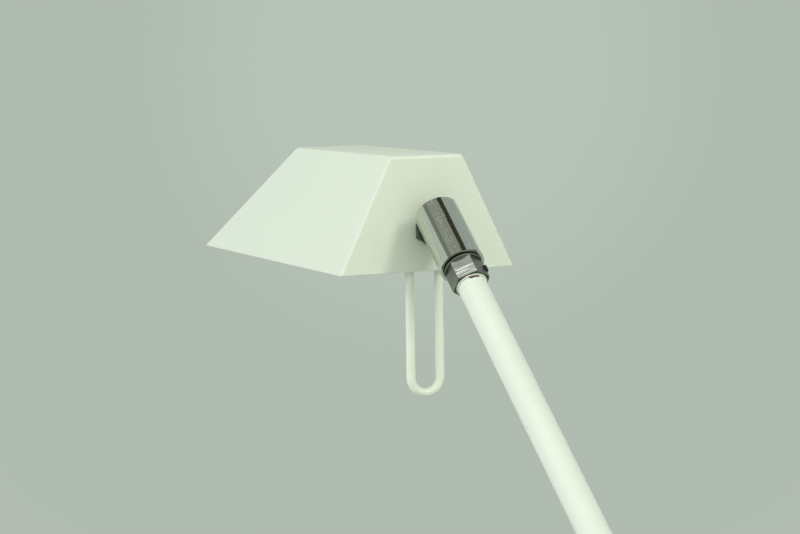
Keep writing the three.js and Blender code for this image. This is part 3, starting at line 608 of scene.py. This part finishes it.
def shade_skin():
    """The outer skin, run on below the rim so that the rim can be trimmed flat."""
    slope = (SHADE["width"] - SHADE["top_width"]) / 2 / SHADE["height"]
    far_slope = (SHADE["length"] - SHADE["top_length"]) / SHADE["height"]
    bm = bmesh.new()
    rows = []
    for z in (-6.0, SHADE["height"]):
        half = SHADE["width"] / 2 - slope * z
        far = -SHADE["length"] + far_slope * z
        corners = ((0, -half), (0, half), (far, half), (far, -half))
        rows.append([bm.verts.new((x, y, z)) for x, y in corners])
    for k in range(4):
        n = (k + 1) % 4
        bm.faces.new((rows[0][k], rows[0][n], rows[1][n], rows[1][k]))
    bm.faces.new(rows[1])
    bmesh.ops.recalc_face_normals(bm, faces=bm.faces)
    folds = [edge for edge in bm.edges if len(edge.link_faces) == 2]
    bmesh.ops.bevel(
        bm, geom=folds, offset=FOLD, segments=6, profile=0.5, affect="EDGES", clamp_overlap=True
    )
    return bm


def shade_shell():
    """The skin thickened inwards to the sheet, and cut off level at the rim."""
    blank = linked("skin", shade_skin())
    solidify = blank.modifiers.new("sheet", "SOLIDIFY")
    solidify.thickness = SHEET
    solidify.offset = -1
    solidify.use_even_offset = True
    bm = bmesh.new()
    bm.from_mesh(applied(blank))
    bpy.data.objects.remove(blank)
    everything = bm.verts[:] + bm.edges[:] + bm.faces[:]
    trimmed = bmesh.ops.bisect_plane(
        bm, geom=everything, plane_co=(0, 0, 0), plane_no=(0, 0, 1), clear_inner=True
    )
    rim = [g for g in trimmed["geom_cut"] if isinstance(g, bmesh.types.BMEdge)]
    bmesh.ops.bridge_loops(bm, edges=rim)
    return bm


piece_of(
    "shade_shell",
    ON_SHADE,
    "shade",
    shade_shell(),
    ("DIFFERENCE", turned_in(5.3, -10, 10, "X", (0, 0, (PIVOT.z - FOOT.z) / MM))),
    round_edges=0.35,
    angle=50,
)

# ---------------------------------------------------------------- loop handle

LOOP = {"x": -6.5, "spacing": 18.0, "bottom": -72.0, "wire": 2.5, "top": 11.5}
half_loop = LOOP["spacing"] / 2
loop_centre = Vector((LOOP["x"], 0, LOOP["bottom"] + LOOP["wire"] + half_loop))
loop_route = [
    Vector((LOOP["x"], half_loop, LOOP["top"])),
    *arc(loop_centre, half_loop, SIDE, UP, 0, -math.pi, 40),
    Vector((LOOP["x"], -half_loop, LOOP["top"])),
]
finish(
    "loop_handle_wire",
    swept(loop_route, LOOP["wire"], 32),
    ON_SHADE,
    "loop_handle",
    material=LIGHTENED_LOOP_ENAMEL,
    round_edges=0.3,
    angle=60,
)

# ---------------------------------------------------------------- knuckle and coupling

SLEEVE = {"radius": 12.5, "bore": 11.0, "length": 42.0, "slot": 3.7, "slot_end": 22.0}
FORK_SCREW = 31.5  # down the arm to the fork's grub screw


def tube(bore, radius, low, high, sides):
    return revolved([(bore, low), (radius, low), (radius, high), (bore, high)], sides)


sleeve_tube = tube(SLEEVE["bore"], SLEEVE["radius"], 0, SLEEVE["length"], 128)
piece_of(
    "pivot_sleeve_tube",
    DOWN_ARM,
    "pivot_sleeve",
    sleeve_tube,
    ("DIFFERENCE", boxed(2, 20, -SLEEVE["slot"], SLEEVE["slot"], -5, SLEEVE["slot_end"])),
    ("DIFFERENCE", turned_in(SLEEVE["slot"], 2, 20, "X", (0, 0, SLEEVE["slot_end"]))),
    ("DIFFERENCE", turned_in(1.7, 5, 20, "X", (0, 0, FORK_SCREW), 32)),
    material=SLEEVE_CHROME,
    round_edges=0.5,
    angle=40,
    segments=4,
)

COUPLING = {"top": 42.5, "hex": 44.1, "end": 56.3, "flats": 18.6, "screw": 50.2}
corner = COUPLING["flats"] / math.sqrt(3)
OFF_CORNERS = Matrix.Rotation(math.radians(1.3), 4, "Z")  # keeps facets off the hexagon's corners
hex_limit = revolved(
    [
        (0, COUPLING["hex"] - 0.2),
        (corner + 0.1, COUPLING["hex"] - 0.2),
        (corner + 0.1, COUPLING["end"] - 1.0),
        (corner - 0.2, COUPLING["end"] - 0.35),
        (corner - 0.7, COUPLING["end"]),
        (0, COUPLING["end"]),
    ],
    128,
)
round_part = revolved(
    [
        (0, COUPLING["top"]),
        (10.4, COUPLING["top"]),
        (10.7, COUPLING["top"] + 0.3),
        (10.7, COUPLING["hex"] - 0.1),
        (10.6, COUPLING["hex"]),
        (6.2, COUPLING["hex"] + 0.4),
        (6.2, 73.7),
        (5.6, 74.3),
        (0, 74.3),
    ],
    128,
)
coupling_bore = revolved([(0, 42), (5.2, 42), (5.2, 54.3), (3.4, 54.3), (3.4, 80), (0, 80)], 64)
to_corner = Matrix.Rotation(math.pi / 6, 4, "Z")  # the set screw sits on a corner of the hexagon
screw_hole = placed(turned_in(2.2, 3, 20, "Y", (0, 0, COUPLING["screw"])), to_corner)
piece_of(
    "hex_coupling_body",
    DOWN_ARM,
    "hex_coupling",
    hexagon(COUPLING["flats"], COUPLING["hex"] - 0.5, COUPLING["end"] + 0.5),
    ("INTERSECT", placed(hex_limit, OFF_CORNERS)),
    ("UNION", placed(round_part, OFF_CORNERS)),
    ("DIFFERENCE", coupling_bore),
    ("DIFFERENCE", screw_hole),
    material=GROOVED,
    round_edges=0.18,
    angle=25,
    merge=0.12,
)


def grub(radius, low, high, place, name, node):
    """A grub screw with a chamfered point and a hexagon socket."""
    outline = [
        (0, low),
        (radius - 0.5, low),
        (radius, low + 0.5),
        (radius, high - 0.25),
        (radius - 0.25, high),
        (0, high),
    ]
    socket = hexagon(radius, high - radius, high + 1)
    piece_of(name, place, node, revolved(outline, 48), ("DIFFERENCE", socket), round_edges=0.08)


at_screw = DOWN_ARM @ Matrix.Translation((0, 0, COUPLING["screw"])) @ to_corner
on_screw = at_screw @ Matrix.Rotation(-math.pi / 2, 4, "X")
grub(2.0, 5.6, 11.6, on_screw, "coupling_screw", "coupling_set_screw")
on_grub = DOWN_ARM @ Matrix.Translation((0, 0, FORK_SCREW)) @ Matrix.Rotation(math.pi / 2, 4, "Y")
grub(1.5, 6.5, 12.0, on_grub, "fork_screw", "fork_grub_screw")

end_ring = [(5.3, 39.4), (10.7, 39.4), (10.7, 41.0), (10.3, 41.4), (5.3, 41.4)]
finish("end_bush_ring", revolved(end_ring, 96), DOWN_ARM, "sleeve_end_bush", round_edges=0.1)
stud = [(3.2, 36.6), (9.5, 36.6), (9.5, 38.4), (4.9, 38.4), (4.9, 53.3), (3.2, 53.3)]
finish("swivel_stud_tube", revolved(stud, 64), DOWN_ARM, "swivel_stud", round_edges=0.1)
end_ring_outline = [(6.5, 56.45), (8.5, 56.45), (8.7, 56.62), (8.7, 56.98), (8.5, 57.15), (6.5, 57.15)]
finish("arm_end_ring_painted", revolved(end_ring_outline, 96), DOWN_ARM, "arm_end_ring")

pivot_x, pivot_z = (PIVOT.x - FOOT.x) / MM, (PIVOT.z - FOOT.z) / MM
flange_to_x = Matrix.Translation((0, 0, pivot_z)) @ Matrix.Rotation(math.pi / 2, 4, "Y")
flange_limit = revolved([(0, 0.3), (8.7, 0.3), (8.6, 2.2), (7.6, 3.2), (0, 3.2)], 96)
flange = hexagon(15, 0.3, 3.2)
piece_of(
    "tilt_tongue_bar",
    ON_SHADE,
    "tilt_tongue",
    placed(flange, flange_to_x),
    ("INTERSECT", placed(flange_limit, flange_to_x)),
    ("UNION", boxed(2.2, pivot_x, -3, 3, pivot_z - 4.5, pivot_z + 4.5)),
    ("UNION", turned_in(6, -3, 3, "Y", (pivot_x, 0, pivot_z))),
    ("UNION", turned_in(5, -15, 1.3, "X", (0, 0, pivot_z))),
    ("DIFFERENCE", turned_in(2.3, -20, 11, "X", (0, 0, pivot_z), 32)),
    ("DIFFERENCE", turned_in(2.1, -9, 9, "Y", (10, 0, pivot_z), 32)),
    ("DIFFERENCE", turned_in(2.2, -9, 9, "Y", (pivot_x, 0, pivot_z), 32)),
    material=DARK_GREENISH_STEEL,
    round_edges=0.25,
    angle=30,
    merge=0.12,
)

# ---------------------------------------------------------------- arm

ARM = {"radius": 8.0, "bore": 6.5, "from": ARM_FROM, "straight": 370.0, "bend": 380.0}
incline = math.asin(-ALONG.z)
arm_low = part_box("arm_tube")[0][2] / MM
bend_start = SLEEVE_TOP / MM + ALONG * ARM["straight"]
bend_centre = Vector((-ARM["bend"], 0, bend_start.z - ARM["bend"] * math.cos(incline)))
arm_route = [
    SLEEVE_TOP / MM + ALONG * ARM["from"],
    *arc(bend_centre, ARM["bend"], Vector((1, 0, 0)), UP, math.pi / 2 - incline, 0, 48),
    Vector((0, 0, arm_low)),
]
MILLIMETRES = Matrix.Scale(MM, 4)
arm_mesh = swept(arm_route, ARM["radius"], 72, ARM["bore"])
finish("arm_tube_bent", arm_mesh, MILLIMETRES, "arm_tube", round_edges=0.4, angle=50, segments=3)

guide = [
    (3.4, -4), (10.2, -4), (10.7, -3.5), (10.7, -0.9), (10.2, -0.4),
    (6.2, -0.4), (6.2, 17.5), (5.8, 18), (3.4, 18),
]
guide = [(r, z + arm_low) for r, z in guide]
finish("arm_guide_plug", revolved(guide, 64), MILLIMETRES, "arm_guide", round_edges=0.1)

# ---------------------------------------------------------------- lamp holder and bulb

# Along the holder, from the end plate's outside face.
HOLDER_FROM = 9.0
SPLIT = 24.0  # between its cap and its body
MOUTH = 52.0
cap_outline = [
    (5.3, HOLDER_FROM), (8.5, HOLDER_FROM), (13.5, HOLDER_FROM + 6), (13.5, SPLIT),
    (11.0, SPLIT), (11.0, HOLDER_FROM + 8), (5.3, HOLDER_FROM + 7),
]
cap_mesh = revolved(rounded(cap_outline, 1.6), 96)
finish("holder_cap_moulding", cap_mesh, INWARD, "lamp_holder_cap", round_edges=0.15)
body_outline = [(0, SPLIT + 0.3), (13.5, SPLIT + 0.3)]
for rib in range(5):
    z = SPLIT + 3 + rib * 2.4
    body_outline += [(13.5, z), (13.1, z + 0.3), (13.1, z + 0.9), (13.5, z + 1.2)]
body_outline += [
    (13.5, MOUTH - 1), (12.5, MOUTH), (11.0, MOUTH),
    (11.0, SPLIT + 8.3), (9.0, SPLIT + 4.3), (0, SPLIT + 4.3),
]
finish("holder_body_moulding", revolved(body_outline, 96), INWARD, "lamp_holder_body", round_edges=0.12)

CAP = {"from": 30.0, "radius": 6.9, "thread": 0.35, "pitch": 2.8}


def bulb_cap_outline():
    """The bulb cap's rolled thread, drawn as rings."""
    points = [(0, CAP["from"]), (2.4, CAP["from"]), (3.0, CAP["from"] + 1.6), (6.2, CAP["from"] + 4)]
    steps = 48
    start, end = CAP["from"] + 4.4, 49.0
    for k in range(steps + 1):
        z = start + (end - start) * k / steps
        wave = (1 - math.cos(2 * math.pi * (z - start) / CAP["pitch"])) / 2
        points.append((CAP["radius"] - CAP["thread"] * wave, z))
    return points + [(CAP["radius"], 49.7), (0, 49.7)]


finish("bulb_cap_thread", revolved(bulb_cap_outline(), 64), INWARD, "bulb_cap", angle=50)


def bulb_outline():
    """Candle-shaped envelope: an outer and an inner wall from the neck to the tip."""
    low, length, belly, neck, wall, steps = 50.0, 78.0, 17.4, 6.6, 0.8, 60
    widest = 0.44  # of the way up
    outer = []
    for k in range(steps + 1):
        t = k / steps
        if t < widest:
            radius = neck * (1 - t / widest) + belly * math.sin(math.pi * t / widest / 2) ** 1.6
        else:
            radius = belly * max(math.cos(math.pi * (t - widest) / (2 - 2 * widest)), 0.0) ** 0.9
        outer.append((radius, low + length * t))
    outer[-1] = (0, low + length)
    inner = [(max(r - wall, 0), z) for r, z in outer[:-2]]
    inner.append((0, low + length - 2.2))
    return outer[::-1] + inner


finish("bulb_envelope", revolved(bulb_outline(), 96), INWARD, "bulb_glass", angle=60)

# ---------------------------------------------------------------- collar and thumb screw

# Heights above the floor.
STEM_TOP = 640.0
THUMB_SCREW = 654.0
KEEPER_SCREW = 628.5
SOCKET_SCREWS = 54.0
CORD_INLET = 9.0
collar_outline = [
    (8.15, 614), (10.7, 614), (10.7, 626), (9.4, 626), (9.4, 631), (10.7, 631),
    (10.7, 640.4), (15.7, 640.4), (16.5, 641.2), (16.5, 647), (16.1, 647.5), (16.5, 648),
    (16.5, 661), (15.1, 664.2), (12.0, 666), (8.15, 666),
]
piece_of(
    "turning_collar_body",
    MILLIMETRES,
    "turning_collar",
    revolved(collar_outline, 128),
    ("DIFFERENCE", turned_in(3.2, -30, -4, "Y", (0, 0, THUMB_SCREW))),
    material=STEM_CHROME,
    round_edges=0.25,
    angle=30,
)


def thumb_knob():
    """A knurled knob on its screw, along Z."""
    knurls, radius, from_z, to_z = 28, 9.3, 19.9, 30.1
    bm = bmesh.new()
    rings = []
    for z, scale in ((from_z, 0.93), (from_z + 0.7, 1), (to_z - 0.9, 1), (to_z, 0.9)):
        ring = []
        for k in range(knurls * 4):
            turn = 2 * math.pi * k / (knurls * 4)
            groove = (1 - 0.045 * (1 - math.cos(knurls * turn)) / 2) if 0.95 < scale else 0.96
            r = radius * scale * groove
            ring.append(bm.verts.new((r * math.cos(turn), r * math.sin(turn), z)))
        rings.append(ring)
    for low, high in zip(rings, rings[1:]):
        for k in range(len(low)):
            n = (k + 1) % len(low)
            bm.faces.new((low[k], low[n], high[n], high[k]))
    bm.faces.new(rings[0])
    bm.faces.new(rings[-1])
    return bm


on_thumb = MILLIMETRES @ Matrix.Translation((0, 0, THUMB_SCREW)) @ Matrix.Rotation(math.pi / 2, 4, "X")
piece_of(
    "thumb_screw_knob",
    on_thumb,
    "thumb_screw",
    thumb_knob(),
    ("UNION", revolved([(0, 10.2), (2.6, 10.2), (3, 10.6), (3, 20.5), (0, 20.5)], 48)),
    ("UNION", revolved([(0, 18), (5.7, 18), (6, 18.3), (6, 20.2), (0, 20.2)], 64)),
    ("DIFFERENCE", revolved([(0, 29.4), (5.6, 29.4), (6.2, 31), (0, 31)], 64)),
    material=STEM_CHROME,
    round_edges=0.12,
    angle=40,
)

# ---------------------------------------------------------------- stem

piece_of(
    "stem_tube_body",
    MILLIMETRES,
    "stem_tube",
    tube(11, 12.5, 34, STEM_TOP, 96),
    ("DIFFERENCE", turned_in(2.2, 8, 20, "X", (0, 0, KEEPER_SCREW), 32)),
    round_edges=0.3,
)
socket_outline = [
    (5.2, 27.3), (27, 27.3), (27, 29.6), (24.5, 31.4), (20.5, 33.8), (18.2, 37.5), (17.3, 42), (17.0, 50),
    (17.0, 65), (16, 66), (12.8, 66), (12.8, 33.7), (5.2, 33.7),
]
piece_of(
    "stem_socket_casting",
    MILLIMETRES,
    "stem_socket",
    revolved(rounded(socket_outline, 0.8), 128),
    ("DIFFERENCE", turned_in(2.7, -30, 30, "X", (0, 0, SOCKET_SCREWS), 32)),
    material=STEM_CHROME,
    round_edges=0.15,
)
for screw_name, socket_node, side in (
    ("socket_grub_front", "socket_screw_front", -1),
    ("socket_grub_back", "socket_screw_back", 1),
):
    at_side = MILLIMETRES @ Matrix.Translation((0, 0, SOCKET_SCREWS))
    on_side = at_side @ Matrix.Rotation(side * math.pi / 2, 4, "Y")
    grub(2.5, 12.6, 17.2, on_side, screw_name, socket_node)
on_keeper = MILLIMETRES @ Matrix.Translation((0, 0, KEEPER_SCREW)) @ Matrix.Rotation(math.pi / 2, 4, "Y")
grub(2.0, 9.7, 13.2, on_keeper, "keeper_grub", "collar_keeper_screw")

# ---------------------------------------------------------------- base


def dome(steps, inset):
    """The pressed cover's outline from its skirt to its centre, inset from the outside."""
    rim_radius, top, skirt, across, rise = 130.0, 27.0, 9.0, 16.0, 12.4
    points = [(rim_radius - inset, 2.6), (rim_radius - inset, skirt)]
    for k in range(1, steps + 1):
        turn = math.radians(78) * k / steps
        r = rim_radius - across + (across - inset) * math.cos(turn)
        points.append((r, skirt + (rise - inset) * math.sin(turn)))
    for r, z in ((100, 23.3), (70, 25.0), (40, 26.4), (26, top), (5.6, top)):
        points.append((r, z - inset))
    return points


cover_outline = dome(12, 0) + dome(12, 1.5)[::-1]
piece_of(
    "base_cover_pressing",
    MILLIMETRES,
    "base_cover",
    revolved(cover_outline, 160),
    ("DIFFERENCE", turned_in(5, 120, 140, "X", (0, 0, CORD_INLET), 48)),
    round_edges=0.3,
    angle=50,
)
weight_outline = [
    (5.6, 2.3), (122, 2.3), (122, 12), (119, 16), (110, 19), (60, 20), (5.6, 20),
]
piece_of(
    "base_weight_casting",
    MILLIMETRES,
    "base_weight",
    revolved(weight_outline, 96),
    ("DIFFERENCE", turned_in(15, 0, 9, "Z", (0, 0, 0))),
    ("DIFFERENCE", turned_in(6, 10, 140, "X", (0, 0, 6), 32)),
    round_edges=0.6,
)
pad_outline = [(0, 0), (126.4, 0), (127, 0.6), (127, 1.5), (126.5, 2), (0, 2)]
finish("floor_pad_felt", revolved(pad_outline, 128), MILLIMETRES, "floor_pad", round_edges=0.2)
inlet_outline = [
    (3.4, 126), (4.6, 126), (4.6, 130.5), (6.4, 130.5),
    (6.2, 131.8), (5.6, 132.6), (3.9, 133), (3.4, 132.7),
]
on_inlet = MILLIMETRES @ Matrix.Translation((0, 0, CORD_INLET)) @ Matrix.Rotation(math.pi / 2, 4, "Y")
finish("inlet_grommet", revolved(inlet_outline, 64), on_inlet, "cord_inlet_bush", round_edges=0.15)

# ---------------------------------------------------------------- small CAD parts keep their shape

for node_name, thing in frame["nodes"].items():
    if not thing.hide_render:
        thing.data.materials.clear()
        thing.data.materials.append(MATERIALS[SLOT_OF[node_name]])

# ---------------------------------------------------------------- stage and light


def stage_material(name, tone, roughness):
    paint = Paint(name)
    paint.colour(paint.ramp(paint.noise(3, 3, 0.5), (0.3, tuple(c * 0.985 for c in tone)), (0.7, tone)))
    paint.set(Roughness=roughness)
    return paint.material


FLOOR = stage_material("floor_paint", (0.52, 0.55, 0.50), 0.85)
floor_mesh = bmesh.new()
bmesh.ops.create_circle(floor_mesh, cap_ends=True, radius=4.2, segments=128)
floor = linked("floor", floor_mesh)
floor.location.z = -0.0005
floor.data.materials.append(FLOOR)


def area_light(name, place, target, size, power, tone):
    light = bpy.data.objects.new(name, bpy.data.lights.new(name, "AREA"))
    light.data.shape = "RECTANGLE"
    light.data.size = size
    light.data.size_y = size
    light.data.energy = power
    light.data.color = tone
    bpy.context.scene.collection.objects.link(light)
    aim(light, place, target - place)
    return light


HEAD = FOOT + Vector((-0.06, 0, 0.03))
WINDOW_POWER = 77
KEY_POWER = 20.2
FILL_POWER = 20
GLINT_POWER = 1.6
ROOM_STRENGTH = 1.07
window = area_light("window", HEAD + Vector((-0.3, -3.6, 1.4)), HEAD, 3.2, WINDOW_POWER, (0.98, 1.0, 0.98))
window.visible_glossy = False
area_light("key", HEAD + Vector((2.0, 0.95, 1.45)), HEAD, 0.5, KEY_POWER, (1.0, 0.985, 0.88))
fill = area_light("fill", HEAD + Vector((3.2, -0.3, 1.8)), HEAD, 3.0, FILL_POWER, (1.0, 0.93, 0.68))
fill.visible_glossy = False
glint = area_light("glint", HEAD + Vector((0.9, -1.15, 2.1)), HEAD, 0.7, GLINT_POWER, (1.0, 1.0, 1.0))
glint.visible_diffuse = False

# The room round the lamp: pale walls, a dim brownish ceiling and a darker side on the right.
world = bpy.data.worlds.new("room")
bpy.context.scene.world = world
world.use_nodes = True
room = world.node_tree
direction = room.nodes.new("ShaderNodeTexCoord").outputs["Generated"]


def room_patch(below, toward, inner, outer, tone):
    """Lays a soft round patch of a tone over the room. inner and outer are cosines: full, and gone."""
    dot = room.nodes.new("ShaderNodeVectorMath")
    dot.operation = "DOT_PRODUCT"
    room.links.new(direction, dot.inputs[0])
    dot.inputs[1].default_value = Vector(toward).normalized()
    fade = room.nodes.new("ShaderNodeMapRange")
    fade.interpolation_type = "SMOOTHSTEP"
    room.links.new(dot.outputs["Value"], fade.inputs["Value"])
    fade.inputs["From Min"].default_value = outer
    fade.inputs["From Max"].default_value = inner
    mixed = room.nodes.new("ShaderNodeMix")
    mixed.data_type = "RGBA"
    room.links.new(fade.outputs["Result"], mixed.inputs["Factor"])
    if isinstance(below, tuple):
        mixed.inputs["A"].default_value = (*below, 1)
    else:
        room.links.new(below, mixed.inputs["A"])
    mixed.inputs["B"].default_value = (*tone, 1)
    return mixed.outputs["Result"]


BARE_ROOM = (0.60, 0.65, 0.60)
PATCHES = (  # towards, cosines where full and where gone, tone
    ((0.0, 0.75, 0.66), 0.80, 0.60, (0.415, 0.468, 0.44)),  # the darker side on the right
    ((-0.10, -0.30, 0.95), 0.92, 0.86, (0.375, 0.405, 0.362)),  # the ceiling
    ((-0.333, -0.72, 0.61), 0.9954, 0.9790, (0.215, 0.25, 0.205)),  # a dull stretch of the left wall
    ((-0.025, 0.15, 0.988), 0.9885, 0.9845, (0.050, 0.050, 0.030)),  # a dark gap overhead
    ((-0.9, 0.4, 0.02), 0.97, 0.88, (0.408, 0.467, 0.404)),  # the wall behind the lamp
    ((-0.913, 0.417, -0.011), 0.9995, 0.990, (0.444, 0.512, 0.440)),  # its paler middle
)
tones = BARE_ROOM
for patch in PATCHES:
    tones = room_patch(tones, *patch)
background = room.nodes["Background"]
room.links.new(tones, background.inputs["Color"])
background.inputs["Strength"].default_value = ROOM_STRENGTH
bpy.context.scene.view_settings.view_transform = "Standard"
bpy.context.scene.view_settings.look = "None"

bpy.context.view_layer.update()
